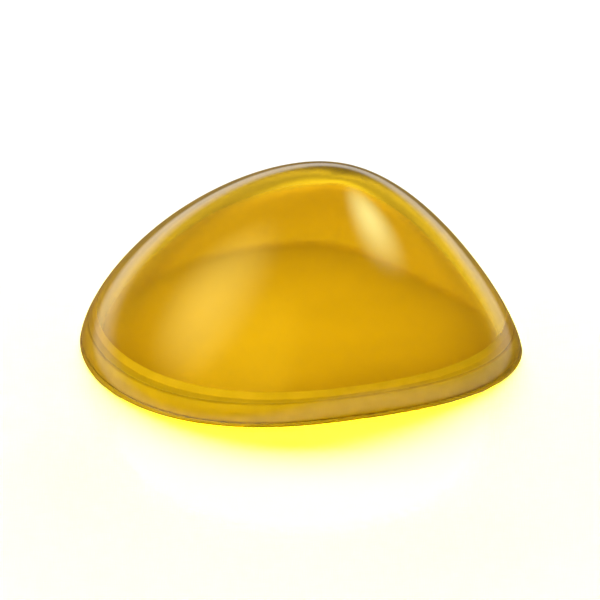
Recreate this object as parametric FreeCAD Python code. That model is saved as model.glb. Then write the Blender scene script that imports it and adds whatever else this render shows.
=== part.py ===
import FreeCAD, Part
import math
import os

# Raised pavement marker: a hollow amber dome on a thin reflector and backing stack.
# Millimetres. +Z is up, the road is z = 0, and the origin is on the road under the middle
# of the marker's length and width. Its face towards traffic is -Y, and its tightest
# corner points to +X.

# ---- overall form of the dome -------------------------------------------------------
overall_height = 25.0        # road to crown
mean_radius = 29.1           # average radius of the foot outline
oval_share = 0.019           # how far the outline is drawn out into an oval
oval_turn = -48.0            # degrees, direction of the oval's long axis
corner_share = 0.051         # how far the outline is drawn out into three soft corners
corner_turn = -17.0          # degrees, direction of the first corner
square_share = 0.021         # slight fourfold fullness that tightens the first corner
square_turn = -15.5          # degrees, direction of that fullness
crown_offset_x = 5.0         # crown, measured from the middle of the foot outline
crown_offset_y = -2.8
crown_power = 1.584          # how flat the crown is
foot_power = 1.40            # how upright the wall stands at the foot
crown_round = 0.12           # share of the radius over which the crown is rounded off
corner_fade = 2.7            # how soon the corners fade out on the way up

# ---- lens shell ----------------------------------------------------------------------
foot_clearance = 0.10        # the shell's foot stands this far above the road
wall_thickness = 2.6         # wall of the dome, square to its surface
skirt_thickness = 1.6        # wall that is left outside the rebate for the plate
bond_thickness = 0.13        # adhesive between the plate's rim and the shell's ledge
fit_gap = 0.05               # play at every upright edge

# ---- stack under the dome, from the road up ------------------------------------------
liner_thickness = 0.12
butyl_thickness = 1.00
plate_thickness = 1.20
sheet_adhesive_thickness = 0.10
sheet_thickness = 0.30
seal_width = 0.50            # bead around the plate's edge
seal_foot_gap = 0.05         # the bead is struck off this far above the shell's foot
plate_corner = 0.20          # small round on the plate's lower edge
pad_inset = 0.50             # the butyl stops this far inside the plate's edge
liner_overhang = 0.30        # the liner reaches this far past the butyl
sheet_margin = 0.30          # between the sheet's edge and the dome's inner wall

# ---- how finely the free-form surfaces are laid out ----------------------------------
turn_steps = 48              # control columns around the outline
rise_steps = 16              # control rows from foot to crown

# ---- levels that follow from the sizes above -----------------------------------------
butyl_bottom = liner_thickness
plate_bottom = butyl_bottom + butyl_thickness
plate_top = plate_bottom + plate_thickness
ledge_level = plate_top + bond_thickness
sheet_bottom = plate_top + sheet_adhesive_thickness
dome_height = overall_height - foot_clearance
plate_inset = skirt_thickness + fit_gap + seal_width + fit_gap
sheet_top = sheet_bottom + sheet_thickness
seal_bottom = foot_clearance + seal_foot_gap


def outline_radius(angle):
    """Radius of the foot outline in the direction of an angle in radians."""
    oval = oval_share * math.cos(2 * (angle - math.radians(oval_turn)))
    corners = corner_share * math.cos(3 * (angle - math.radians(corner_turn)))
    square = square_share * math.cos(4 * (angle - math.radians(square_turn)))
    return mean_radius * (1 + oval + corners + square)


def rise(share):
    """Height as a share of the dome's height, from the crown (0) to the foot (1)."""
    start = crown_round ** crown_power
    whole = (1 + crown_round ** 2) ** (crown_power / 2) - start
    fall = ((share ** 2 + crown_round ** 2) ** (crown_power / 2) - start) / whole
    return max(0.0, 1 - fall) ** (1 / foot_power)


def dome_point(angle, share):
    """Point of the outer skin, measured from the middle of the foot outline."""
    radius = share * mean_radius
    radius += share ** (corner_fade + 1) * (outline_radius(angle) - mean_radius)
    x = crown_offset_x * (1 - share) + radius * math.cos(angle)
    y = crown_offset_y * (1 - share) + radius * math.sin(angle)
    return FreeCAD.Vector(x, y, foot_clearance + dome_height * rise(share))


def dome_normal(angle, share):
    """Outward unit normal of the outer skin."""
    if share < 0.001:
        return FreeCAD.Vector(0, 0, 1)
    if share > 0.999:
        return outline_normal(angle)
    around = dome_point(angle + 0.001, share) - dome_point(angle - 0.001, share)
    down = dome_point(angle, share + 0.0005) - dome_point(angle, share - 0.0005)
    normal = down.cross(around)
    normal.normalize()
    return normal


def outline_normal(angle):
    """Outward unit normal of the foot outline, level with the road."""
    along = foot_point(angle + 0.001) - foot_point(angle - 0.001)
    normal = FreeCAD.Vector(along.y, -along.x, 0)
    normal.normalize()
    return normal


def foot_point(angle):
    radius = outline_radius(angle)
    return FreeCAD.Vector(radius * math.cos(angle), radius * math.sin(angle), 0)


def middle_of_outline():
    """Middle of the foot outline's length and width."""
    points = [foot_point(math.radians(step / 2)) for step in range(720)]
    x = (max(p.x for p in points) + min(p.x for p in points)) / 2
    y = (max(p.y for p in points) + min(p.y for p in points)) / 2
    return FreeCAD.Vector(x, y, 0)


centring = middle_of_outline() * -1


def lowest_share(angle, inset, level):
    """Share at which the skin, moved inwards by the inset, comes down to a level."""
    above, below = 0.5, 1.0
    for halving in range(40):
        share = (above + below) / 2
        point = dome_point(angle, share) - dome_normal(angle, share) * inset
        if point.z > level:
            above = share
        else:
            below = share
    return above


def dome_solid(inset, level):
    """Solid under the dome's skin, with the skin moved inwards by the inset, down to a level."""
    columns = []
    for turn in range(turn_steps):
        angle = 2 * math.pi * turn / turn_steps
        lowest = lowest_share(angle, inset, level) if inset else 1.0
        column = []
        for row in range(rise_steps + 1):
            share = lowest * math.cos(math.pi / 2 * row / rise_steps)
            point = dome_point(angle, share) - dome_normal(angle, share) * inset
            column.append(point + centring)
        column[0].z = level
        # one more row near the foot; on the outer skin it stands straight over the foot
        second = column[0] + (column[1] - column[0]) / 3
        if not inset:
            second = FreeCAD.Vector(column[0].x, column[0].y, second.z)
        column.insert(1, second)
        # the row beside the crown is level with it, so the crown is smooth
        column[-2].z = column[-1].z
        columns.append(column)
    rows = rise_steps + 2
    inner_knots = rows - 4
    skin = Part.BSplineSurface()
    skin.buildFromPolesMultsKnots(
        columns,
        [1] * (turn_steps + 1),
        [4] + [1] * inner_knots + [4],
        list(range(turn_steps + 1)),
        list(range(inner_knots + 2)),
        True,
        False,
        3,
        3,
    )
    side = skin.toShape()
    foot_edges = [edge for edge in side.Edges if edge.BoundBox.ZLength < 0.001 and edge.Length > 1]
    foot = Part.Face(Part.Wire(foot_edges[0]))
    skin_and_foot = Part.Shell([side, foot])
    skin_and_foot.sewShape()
    solid = Part.Solid(skin_and_foot)
    if solid.Volume < 0:
        solid.reverse()
    return solid


def foot_outline(inset):
    """Points around the foot outline, moved inwards by the inset."""
    points = []
    for turn in range(turn_steps):
        angle = 2 * math.pi * turn / turn_steps
        points.append(foot_point(angle) - outline_normal(angle) * inset + centring)
    return points


def hollow_outline(level, margin):
    """Points around the shell's inner wall at a level, moved by a margin into the hollow."""
    points = []
    for turn in range(turn_steps):
        angle = 2 * math.pi * turn / turn_steps
        share = lowest_share(angle, wall_thickness, level)
        wall = dome_point(angle, share) - dome_normal(angle, share) * wall_thickness
        points.append(wall - outline_normal(angle) * margin + centring)
    return points


def disc(outline, bottom, thickness):
    """Flat layer inside one smooth closed curve through the outline's points."""
    curve = Part.BSplineCurve()
    curve.interpolate(Points=[FreeCAD.Vector(p.x, p.y, bottom) for p in outline], PeriodicFlag=True)
    face = Part.Face(Part.Wire(curve.toShape()))
    return face.extrude(FreeCAD.Vector(0, 0, thickness))


def ring(outer, inner, bottom, thickness):
    """Flat band between two outlines."""
    return disc(outer, bottom, thickness).cut(disc(inner, bottom - 1, thickness + 2))


# ---- the pieces ------------------------------------------------------------------------
def make_lens_shell():
    # moulded amber dome, with a rebate in its foot that leaves a ledge for the plate
    rebate = disc(foot_outline(skirt_thickness), foot_clearance - 1, ledge_level - foot_clearance + 1)
    hollow = dome_solid(wall_thickness, ledge_level - 0.3)
    return dome_solid(0, foot_clearance).cut(rebate).cut(hollow)


def make_release_liner():
    # waxed paper over the butyl; it is peeled off when the marker is fitted
    return disc(foot_outline(plate_inset + pad_inset - liner_overhang), 0, liner_thickness)


def make_butyl_pad():
    return disc(foot_outline(plate_inset + pad_inset), butyl_bottom, butyl_thickness)


def make_backing_plate():
    # stamped plate that closes the dome; its lower edge is rounded over
    plate = disc(foot_outline(plate_inset), plate_bottom, plate_thickness)
    lower_edges = [e for e in plate.Edges if e.BoundBox.ZMax < plate_bottom + 0.001 and e.Length > 1]
    return plate.makeFillet(min(plate_corner, plate_thickness / 3), lower_edges)


def make_edge_seal():
    # bead that keeps water out of the joint; it fills the rebate from near the foot to the ledge
    outer = foot_outline(skirt_thickness + fit_gap)
    inner = foot_outline(plate_inset - fit_gap)
    return ring(outer, inner, seal_bottom, ledge_level - seal_bottom)


def make_shell_bond():
    # structural adhesive between the plate's rim and the whole width of the ledge
    return ring(foot_outline(plate_inset), hollow_outline(ledge_level, 0), plate_top, bond_thickness)


def make_sheet_adhesive():
    return disc(hollow_outline(sheet_top, sheet_margin), plate_top, sheet_adhesive_thickness)


def make_reflector_sheet():
    # glass-bead sheet, die-cut to lie inside the dome's inner wall
    return disc(hollow_outline(sheet_top, sheet_margin), sheet_bottom, sheet_thickness)


pieces = {
    "lens_shell": make_lens_shell,
    "shell_bond": make_shell_bond,
    "edge_seal": make_edge_seal,
    "reflector_sheet": make_reflector_sheet,
    "sheet_adhesive": make_sheet_adhesive,
    "backing_plate": make_backing_plate,
    "butyl_pad": make_butyl_pad,
    "release_liner": make_release_liner,
}

os.makedirs("parts", exist_ok=True)
for name, make in pieces.items():
    solid = make()
    if len(solid.Solids) == 1:
        solid = solid.Solids[0]
    solid.exportStep("parts/" + name + ".step")
    box = solid.BoundBox
    print(name, solid.ShapeType, solid.isValid(), round(solid.Volume, 1),
          [round(v, 3) for v in (box.XMin, box.XMax, box.YMin, box.YMax, box.ZMin, box.ZMax)])
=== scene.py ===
import math

import bpy
import numpy as np
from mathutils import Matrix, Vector


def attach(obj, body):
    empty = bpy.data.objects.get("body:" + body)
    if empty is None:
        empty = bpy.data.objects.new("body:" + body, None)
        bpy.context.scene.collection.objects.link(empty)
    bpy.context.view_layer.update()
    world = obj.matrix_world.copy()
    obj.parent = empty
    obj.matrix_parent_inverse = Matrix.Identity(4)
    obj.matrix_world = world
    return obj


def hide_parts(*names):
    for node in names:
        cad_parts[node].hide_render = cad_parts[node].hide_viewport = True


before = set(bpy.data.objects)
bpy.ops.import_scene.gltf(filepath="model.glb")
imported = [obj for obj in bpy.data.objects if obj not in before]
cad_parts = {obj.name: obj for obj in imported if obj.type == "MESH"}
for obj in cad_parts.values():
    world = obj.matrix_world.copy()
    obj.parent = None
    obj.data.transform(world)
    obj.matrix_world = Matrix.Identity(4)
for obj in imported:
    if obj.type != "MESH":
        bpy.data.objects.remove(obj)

scene = bpy.context.scene
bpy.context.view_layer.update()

# Camera: a long lens in front of the marker that looks down on the table at a shallow angle. The
# dome fills three quarters of the frame's width.
view_down = math.radians(24.3)
view_distance = 0.47
camera_aim = Vector((0.00010, -0.00480, 0.00025))

camera_data = bpy.data.cameras.new("camera")
camera_data.sensor_width = 36
camera_data.lens = 211.2
camera_data.shift_x = -0.0017
camera_data.shift_y = 0.0767
camera_data.clip_start = 0.02
camera_data.clip_end = 20
camera = bpy.data.objects.new("camera", camera_data)
camera.location = camera_aim + Vector((0, -math.cos(view_down), math.sin(view_down))) * view_distance
camera.rotation_euler = (math.pi / 2 - view_down, 0, 0)
scene.collection.objects.link(camera)
scene.camera = camera


# Lens shell: one moulding of clear amber plastic, a soft three-cornered dome with a wall of
# even thickness. Its foot has a rebate that leaves a ledge for the plate. It is polished outside
# and has a faint satin inside, and it is bonded to the plate's rim.
mm = 0.001
overall_height = 25.0 * mm
foot_clearance = 0.10 * mm
mean_radius = 29.1 * mm
wall_thickness = 2.6 * mm
skirt_thickness = 1.6 * mm
ledge_level = 2.45 * mm
foot_edge_round = 0.15 * mm
dome_height = overall_height - foot_clearance
small_angle, small_share = 1e-3, 5e-4  # steps over which the skin's slope is taken


def outline_radius(angle):
    """Radius of the foot outline: a circle drawn out into an oval with three soft corners."""
    oval = 0.019 * np.cos(2 * (angle - math.radians(-48.0)))
    corners = 0.051 * np.cos(3 * (angle - math.radians(-17.0)))
    square = 0.021 * np.cos(4 * (angle - math.radians(-15.5)))
    return mean_radius * (1 + oval + corners + square)


def rise(share):
    """Height as a share of the dome's height, from the crown (0) to the foot (1)."""
    crown_power, crown_round, foot_power = 1.584, 0.12, 1.40
    start = crown_round ** crown_power
    whole = (1 + crown_round ** 2) ** (crown_power / 2) - start
    fall = ((share ** 2 + crown_round ** 2) ** (crown_power / 2) - start) / whole
    return np.clip(1 - fall, 0, 1) ** (1 / foot_power)


def dome_point(angle, share):
    """Points of the outer skin, measured from the middle of the foot outline."""
    corner_fade, crown_offset = 2.7, (5.0 * mm, -2.8 * mm)
    radius = share * mean_radius + share ** (corner_fade + 1) * (outline_radius(angle) - mean_radius)
    x = crown_offset[0] * (1 - share) + radius * np.cos(angle)
    y = crown_offset[1] * (1 - share) + radius * np.sin(angle)
    return np.stack([x, y, foot_clearance + dome_height * rise(share)], -1)


def outline_normal(angle):
    """Outward unit normals of the foot outline, level with the road."""
    at_foot = np.ones_like(angle)
    along = dome_point(angle + small_angle, at_foot) - dome_point(angle - small_angle, at_foot)
    normal = np.stack([along[:, 1], -along[:, 0], np.zeros_like(angle)], -1)
    return normal / np.linalg.norm(normal, axis=1)[:, None]


def dome_normal(angle, share):
    """Outward unit normals of the outer skin."""
    around = dome_point(angle + small_angle, share) - dome_point(angle - small_angle, share)
    down = dome_point(angle, share + small_share) - dome_point(angle, share - small_share)
    normal = np.cross(down, around)
    return normal / np.linalg.norm(normal, axis=1)[:, None]


def inner_point(angle, share):
    """Points of the inner skin, the wall's thickness in from the outer one."""
    return dome_point(angle, share) - dome_normal(angle, share) * wall_thickness


def lowest_inner_share(angle, level):
    """Share at which the inner skin comes down to a level."""
    above, below = np.full_like(angle, 0.5), np.full_like(angle, 0.999)
    for halving in range(40):
        middle = (above + below) / 2
        high = inner_point(angle, middle)[:, 2] > level
        above, below = np.where(high, middle, above), np.where(high, below, middle)
    return above


turns = 288  # points around each ring
outer_rows = 121  # rows of points from the crown to the foot
inner_rows = 100
round_points = 7  # points over a small round
angles = np.linspace(0, 2 * math.pi, turns, endpoint=False)
foot = dome_point(angles, np.ones(turns))
foot_out = outline_normal(angles)
foot_middle = (foot.max(0) + foot.min(0)) / 2
centring = np.array([-foot_middle[0], -foot_middle[1], 0])


def foot_ring(inset, level):
    """Ring along the foot outline, moved inwards by the inset, at a level."""
    ring = foot - foot_out * inset
    ring[:, 2] = level
    return ring


rings = []
for step in range(1, outer_rows):
    share = math.sin(math.pi / 2 * step / outer_rows)
    rings.append(dome_point(angles, np.full(turns, share)))
for bend in np.linspace(0, math.pi / 2, round_points):
    inset = foot_edge_round * (1 - math.cos(bend))
    rings.append(foot_ring(inset, foot_clearance + foot_edge_round * (1 - math.sin(bend))))
rings.append(foot_ring(skirt_thickness - foot_edge_round, foot_clearance))
rings.append(foot_ring(skirt_thickness, foot_clearance + foot_edge_round))
rings.append(foot_ring(skirt_thickness, ledge_level))
lowest = lowest_inner_share(angles, ledge_level)
for step in range(inner_rows):
    rings.append(inner_point(angles, lowest * math.cos(math.pi / 2 * step / inner_rows)))
beside_crown = 1e-6
crown = dome_point(np.zeros(1), np.full(1, beside_crown))[0]
points = np.concatenate(rings + [[crown], [crown - np.array([0, 0, wall_thickness])]]) + centring
top, under = len(points) - 2, len(points) - 1
faces = []
for turn in range(turns):
    following = (turn + 1) % turns
    faces.append((top, turn, following))
    for ring in range(len(rings) - 1):
        a, b = ring * turns, (ring + 1) * turns
        faces.append((a + turn, b + turn, b + following, a + following))
    last = (len(rings) - 1) * turns
    faces.append((last + turn, under, last + following))
lens_mesh = bpy.data.meshes.new("lens_shell_moulded")
lens_mesh.from_pydata(points.tolist(), [], faces)
inner_from = (len(rings) - inner_rows) * turns
on_inner_skin = [float(inner_from <= point < top or point == under) for point in range(len(points))]
satin = lens_mesh.attributes.new("satin_inside", "FLOAT", "POINT")
satin.data.foreach_set("value", on_inner_skin)
lens_mesh.validate()
lens_mesh.shade_smooth()
lens_mesh.set_sharp_from_angle(angle=math.radians(35))
lens = bpy.data.objects.new("lens_shell_moulded", lens_mesh)
scene.collection.objects.link(lens)


class Amount:
    """A node socket that can be used in sums; each sum adds the Math node that works it out."""

    def __init__(self, nodes, socket):
        self.nodes = nodes
        self.socket = socket

    def maths(self, operation, other):
        return self.nodes.node("ShaderNodeMath", {"operation": operation}, {0: self, 1: other})

    def __add__(self, other):
        return self.maths("ADD", other)

    def __mul__(self, other):
        return self.maths("MULTIPLY", other)

    __radd__ = __add__
    __rmul__ = __mul__


class Nodes:
    """The nodes of a finish, a lamp or the room, made one call at a time."""

    def __init__(self, tree):
        self.tree = tree

    def join(self, socket, value):
        if isinstance(value, Amount):
            self.tree.links.new(value.socket, socket)
        else:
            socket.default_value = value

    def node(self, kind, settings, sockets, output=0):
        made = self.tree.nodes.new(kind)
        for name, value in settings.items():
            if name == "stops":
                while len(made.color_ramp.elements) < len(value):
                    made.color_ramp.elements.new(0.5)
                for element, (place, colour) in zip(made.color_ramp.elements, value):
                    element.position = place
                    element.color = colour
            else:
                setattr(made, name, value)
        for name, value in sockets.items():
            self.join(made.inputs[name], value)
        return Amount(self, made.outputs[output])

    def shades(self, along, *stops):
        """A colour that goes from stop to stop as the value along them rises."""
        stops = [(place, (*colour, 1.0)) for place, colour in stops]
        return self.node("ShaderNodeValToRGB", {"stops": stops}, {"Fac": along})


class Finish(Nodes):
    """A material's nodes, with the patterns that the finishes share."""

    def __init__(self, name):
        self.material = bpy.data.materials.new(name)
        self.material.use_nodes = True
        super().__init__(self.material.node_tree)
        self.shader = self.tree.nodes["Principled BSDF"]
        self.place = self.node("ShaderNodeTexCoord", {}, {}, "Object")

    def set(self, **sockets):
        for name, value in sockets.items():
            self.join(self.shader.inputs[name.replace("_", " ")], value)

    def noise(self, per_metre, detail, stretch=(1, 1, 1)):
        where = self.node("ShaderNodeMapping", {}, {"Vector": self.place, "Scale": stretch})
        sockets = {"Vector": where, "Scale": per_metre, "Detail": detail}
        return self.node("ShaderNodeTexNoise", {}, sockets)

    def bump(self, height, distance, strength=1.0):
        sockets = {"Height": height, "Distance": distance, "Strength": strength}
        return self.node("ShaderNodeBump", {}, sockets)


# The surface colour is the plastic's amber, painted darker where the skin turns away from view: painted
# shade that darkens the rims. A light dye in the plastic takes out the blue.
amber = Finish("clear_amber_moulding")
haze = amber.noise(60, 4)
satin_inside = amber.node("ShaderNodeAttribute", {"attribute_name": "satin_inside"}, {}, "Fac")
facing_for_painted_rim_shade = amber.node("ShaderNodeLayerWeight", {}, {"Blend": 0.5}, "Facing")
amber.set(
    # Amber colour of the plastic, with painted shade that deepens towards the rims.
    Base_Color=amber.shades(
        facing_for_painted_rim_shade,
        (0.45, (0.88, 0.69, 0.09)),
        (0.80, (0.70, 0.46, 0.05)),
        (0.95, (0.56, 0.30, 0.02)),
    ),
    Transmission_Weight=1.0,
    IOR=1.49,
    Specular_IOR_Level=0.12,
    Roughness=haze * 0.05 + satin_inside * 0.12 + 0.005,
    Normal=amber.bump(amber.noise(45, 1.5), 0.00012),
)
taken = (30.0, 55.0, 260.0)  # red, green and blue taken out of the light per metre of plastic
let_through = [1 - share / max(taken) for share in taken]
dye = amber.node("ShaderNodeVolumeAbsorption", {}, {"Density": max(taken), "Color": (*let_through, 1.0)})
amber.join(amber.tree.nodes["Material Output"].inputs["Volume"], dye)
lens.data.materials.append(amber.material)
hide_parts("lens_shell")
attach(lens, "root")


def dress(name, finish):
    """Gives a CAD node its finish."""
    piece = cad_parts[name]
    piece.data.materials.clear()
    piece.data.materials.append(finish.material)


# Reflector sheet: a die-cut disc of plastic film with a layer of fine glass beads under its face.
# It lies on the plate inside the dome, on its own adhesive.
beaded = Finish("glass_bead_sheet")
beads = beaded.node("ShaderNodeTexVoronoi", {}, {"Vector": beaded.place, "Scale": 4000.0})
cloud = beaded.noise(90, 3)
beaded.set(
    Base_Color=beaded.shades(cloud, (0.35, (0.80, 0.79, 0.30)), (0.65, (0.86, 0.85, 0.36))),
    Roughness=beads * 0.2 + 0.3,
    Normal=beaded.bump(beads, 0.00003, 0.6),
)
dress("reflector_sheet", beaded)


# Sheet adhesive: a clear, slightly milky film that came on the back of the reflector sheet.
# It holds the sheet down on the plate.
tacky = Finish("clear_film_adhesive")
tacky.set(
    Base_Color=tacky.shades(tacky.noise(300, 4), (0.3, (0.66, 0.64, 0.58)), (0.7, (0.76, 0.74, 0.68))),
    Roughness=tacky.noise(500, 3) * 0.3 + 0.3,
    Normal=tacky.bump(tacky.noise(900, 2), 0.00001),
)
dress("sheet_adhesive", tacky)


# Backing plate: stamped from aluminium sheet, with the rolling marks still on it. It closes the
# dome and carries the butyl.
rolled = Finish("rolled_aluminium")
grain = rolled.noise(500, 5, (0.06, 1, 1))
rolled.set(
    Base_Color=rolled.shades(grain, (0.3, (0.60, 0.61, 0.62)), (0.7, (0.72, 0.73, 0.74))),
    Metallic=1.0,
    Roughness=grain * 0.25 + 0.25,
    Normal=rolled.bump(grain, 0.00001),
)
dress("backing_plate", rolled)


# Shell bond: cured adhesive on the plate's rim, under the ledge, tinted to suit the shell. What was
# squeezed out when the shell was pressed on stands in the corner of the hollow as a small fillet.
wetting = 0.03 * mm  # how far a bead reaches into the shell that it sticks to
plate_top = 2.32 * mm
plate_inset = 2.2 * mm
sheet_top = 2.72 * mm
squeeze_width, squeeze_height = 0.5 * mm, 0.6 * mm
squeeze_rows = 4
squeeze_toe = 0.28 * mm  # the adhesive stops here, short of the sheet's edge


def bead(name, rings):
    """A closed bead whose section runs through the rings of points in turn."""
    mesh = bpy.data.meshes.new(name)
    faces = []
    for ring in range(len(rings)):
        a, b = ring * turns, (ring + 1) % len(rings) * turns
        for turn in range(turns):
            following = (turn + 1) % turns
            faces.append((a + turn, a + following, b + following, b + turn))
    mesh.from_pydata((np.concatenate(rings) + centring).tolist(), [], faces)
    mesh.validate()
    mesh.shade_smooth()
    mesh.set_sharp_from_angle(angle=math.radians(50))
    piece = bpy.data.objects.new(name, mesh)
    scene.collection.objects.link(piece)
    return piece


def wall_ring(level, away):
    """Ring along the shell's inner wall at a level, moved away from the wall into the hollow."""
    ring = inner_point(angles, lowest_inner_share(angles, level)) - foot_out * away
    ring[:, 2] = level
    return ring


cured = Finish("tinted_structural_adhesive")
cured.set(
    Base_Color=cured.shades(cured.noise(400, 3), (0.3, (0.80, 0.73, 0.20)), (0.7, (0.88, 0.80, 0.26))),
    Roughness=cured.noise(700, 3) * 0.3 + 0.35,
    Specular_IOR_Level=0.1,
    Normal=cured.bump(cured.noise(700, 3), 0.00002),
)
section = [foot_ring(plate_inset, plate_top), foot_ring(plate_inset, ledge_level + wetting)]
section += [wall_ring(ledge_level + wetting, -wetting)]
for step in range(1, squeeze_rows + 1):
    section.append(wall_ring(sheet_top + squeeze_height * step / squeeze_rows, -wetting))
for bend in np.linspace(0, math.pi / 2, round_points):
    level = sheet_top + squeeze_height * (1 - math.sin(bend))
    section.append(wall_ring(level, squeeze_width * (1 - math.cos(bend))))
section += [wall_ring(sheet_top, squeeze_toe), wall_ring(plate_top, squeeze_toe)]
bond = bead("shell_bond_line", section)
bond.data.materials.append(cured.material)
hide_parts("shell_bond")
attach(bond, "root")


# Edge seal: a bead of tinted sealant round the plate's edge. It fills the shell's rebate from
# near the foot up to the ledge, and wets the skirt.
sealant = Finish("tinted_sealant")
sealant.set(
    Base_Color=sealant.shades(sealant.noise(500, 4), (0.3, (0.70, 0.58, 0.08)), (0.7, (0.78, 0.66, 0.11))),
    Roughness=sealant.noise(800, 3) * 0.3 + 0.35,
    Specular_IOR_Level=0.1,
    Normal=sealant.bump(sealant.noise(600, 3), 0.00003),
)
seal_bottom = 0.15 * mm
seal_top = ledge_level + wetting
seal_round = 0.05 * mm
play = 0.05 * mm
seal_outside, seal_inside = skirt_thickness - wetting, plate_inset - play
seal = bead("edge_seal_bead", [
    foot_ring(seal_outside + seal_round, seal_bottom),
    foot_ring(seal_outside, seal_bottom + seal_round),
    foot_ring(seal_outside, seal_top - seal_round),
    foot_ring(seal_outside + seal_round, seal_top),
    foot_ring(seal_inside - seal_round, seal_top),
    foot_ring(seal_inside, seal_top - seal_round),
    foot_ring(seal_inside, seal_bottom + seal_round),
    foot_ring(seal_inside - seal_round, seal_bottom),
])
seal.data.materials.append(sealant.material)
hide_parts("edge_seal")
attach(seal, "root")


# Butyl pad: light grey, tacky, pressed sheet that sticks the marker to the road. It is cut a little
# smaller than the plate, so that it can spread when it is pressed down.
butyl = Finish("grey_butyl")
butyl.set(
    Base_Color=butyl.shades(butyl.noise(350, 5), (0.3, (0.50, 0.47, 0.42)), (0.7, (0.58, 0.55, 0.50))),
    Roughness=butyl.noise(600, 4) * 0.35 + 0.3,
    Normal=butyl.bump(butyl.noise(500, 4), 0.00004),
)
dress("butyl_pad", butyl)


# Release liner: a disc of waxed paper over the butyl, cut a little larger so that it can be
# gripped. It stays on until the marker is fitted.
waxed = Finish("waxed_paper")
fibre = waxed.noise(1500, 5, (1, 0.3, 1))
waxed.set(
    Base_Color=waxed.shades(fibre, (0.3, (0.72, 0.69, 0.60)), (0.7, (0.82, 0.80, 0.72))),
    Roughness=fibre * 0.2 + 0.35,
    Normal=waxed.bump(fibre, 0.00001),
)
dress("release_liner", waxed)


# Floor: a plain white table that runs far past the marker. It is lit only round the marker, so
# further out it glows by itself and runs into the pale room without an edge. The shell doesn't
# mirror it, which keeps the shell's rims from going white.
reach = 4.0
corners = [(-reach, -reach, 0), (reach, -reach, 0), (reach, reach, 0), (-reach, reach, 0)]
floor_mesh = bpy.data.meshes.new("floor")
floor_mesh.from_pydata(corners, [], [(0, 1, 2, 3)])
floor = bpy.data.objects.new("floor", floor_mesh)
scene.collection.objects.link(floor)
table = Finish("white_table")
from_marker = table.node("ShaderNodeVectorMath", {"operation": "LENGTH"}, {0: table.place}, "Value")
table.set(
    Base_Color=(0.88, 0.88, 0.88, 1.0),
    Roughness=table.noise(3, 2) * 0.1 + 0.6,
    Emission_Color=table.shades(from_marker, (0.12, (0, 0, 0)), (0.40, (1, 1, 1))),
    Emission_Strength=1.0,
)
floor.data.materials.append(table.material)
floor.visible_glossy = False


# Studio light: a key lamp behind the marker lights the table and makes the shadow. Three soft
# fills, over it, in front and behind, light the inside of the shell, and a softbox on each side
# shows as a highlight on it. A small yellow lamp adds the light that the dome gathers on the table.
def lamp(
    name, reaches, turn, height, distance, width, tall, power,
    colour=(1, 1, 1), spread=180, aim=(0, 0, 0),
):
    """An area light that looks at the marker. Turn 0 is behind it, and 90 on its right.

    It reaches one kind of surface: "diffuse" is the table and the matt pieces, "transmission" is
    what is lit through the shell, and "glossy" is what the shell mirrors.
    """
    light = bpy.data.lights.new(name, "AREA")
    light.shape = "RECTANGLE"
    light.size = width
    light.size_y = tall
    light.energy = power
    light.color = colour
    light.spread = math.radians(spread)
    placed = bpy.data.objects.new(name, light)
    turn, height = math.radians(turn), math.radians(height)
    way = Vector((math.sin(turn) * math.cos(height), math.cos(turn) * math.cos(height), math.sin(height)))
    placed.location = Vector(aim) + way * distance
    placed.rotation_euler = (-way).to_track_quat("-Z", "Y").to_euler()
    placed.visible_camera = False
    placed.visible_diffuse = reaches == "diffuse"
    placed.visible_glossy = reaches == "glossy"
    placed.visible_transmission = reaches == "transmission"
    scene.collection.objects.link(placed)
    return placed


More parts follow.
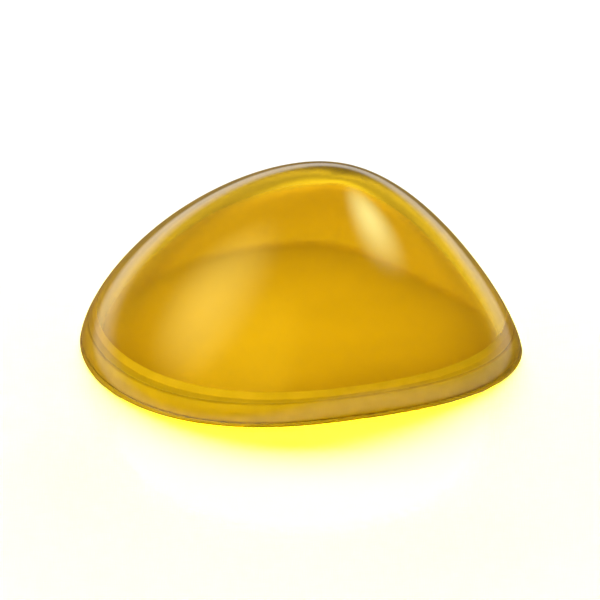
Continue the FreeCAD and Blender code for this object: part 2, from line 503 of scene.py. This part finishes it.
def feather(placed, strength, plateau=0.0):
    """Fades a lamp's brightness from its middle, or from a plateau round it, out to its edges."""
    light = placed.data
    light.use_nodes = True
    nodes = Nodes(light.node_tree)
    middle, edge = (0.5, 0.5, 0.0), 0.5
    across = nodes.node("ShaderNodeNewGeometry", {}, {}, "Parametric")
    away = nodes.node("ShaderNodeVectorMath", {"operation": "DISTANCE"}, {0: across, 1: middle}, "Value")
    fade = nodes.node(
        "ShaderNodeMapRange",
        {"interpolation_type": "SMOOTHSTEP"},
        {"Value": away, "From Min": edge, "From Max": plateau, "To Max": strength},
    )
    nodes.join(light.node_tree.nodes["Emission"].inputs["Strength"], fade)


lamp("key", "diffuse", turn=0, height=39.5, distance=2.4, width=1.80, tall=0.62, power=118)
fill_colour = (1.0, 0.97, 0.6)
for fill in (
    dict(name="overhead_light", turn=0, height=90, distance=0.4, width=3.0, tall=3.0, power=17),
    dict(name="front_fill", turn=-150, height=30, distance=0.8, width=1.3, tall=1.3, power=12),
    dict(name="back_fill", turn=0, height=28, distance=1.0, width=4.0, tall=1.8, power=6),
):
    feather(lamp(reaches="transmission", colour=fill_colour, **fill), strength=2.0, plateau=0.3)
warm, cool = (1.0, 0.85, 0.2), (0.8, 1.0, 0.5)
for softbox in (
    dict(name="left_softbox", turn=-98, height=49, width=0.85, tall=0.65, power=3.6, colour=warm),
    dict(name="right_softbox", turn=68, height=54, width=0.60, tall=0.36, power=2.4, colour=cool),
):
    feather(lamp(reaches="glossy", distance=0.6, **softbox), strength=3.0)
lamp(
    "gathered_light", "diffuse", turn=180, height=50, distance=0.25, width=0.05, tall=0.03,
    power=0.12, colour=(1.0, 0.85, 0.0), spread=24, aim=(0, -0.032, 0),
)


# Room: white where it meets the table and dim overhead, so that the crown's rim stays dark. What
# lies under the level of the table is a dim amber, which only the shell's rims mirror.
room = bpy.data.worlds.new("pale_room")
room.use_nodes = True
scene.world = room
air = Nodes(room.node_tree)
ways = air.node("ShaderNodeTexCoord", {}, {}, "Generated")
upward = air.node("ShaderNodeSeparateXYZ", {}, {0: ways}, "Z")
dimming = {"Value": upward, "From Min": 0.06, "From Max": 0.18, "To Min": 1.0, "To Max": 0.06}
level_with_table = {"Value": upward, "From Min": -0.12, "From Max": -0.04}
brightness = air.node("ShaderNodeMapRange", {}, dimming)
whiteness = air.node("ShaderNodeMapRange", {}, level_with_table)
background = room.node_tree.nodes["Background"]
air.join(background.inputs["Strength"], brightness)
air.join(background.inputs["Color"], air.shades(whiteness, (0, (0.26, 0.18, 0.07)), (1, (1, 1, 1))))
scene.view_settings.view_transform = "Standard"
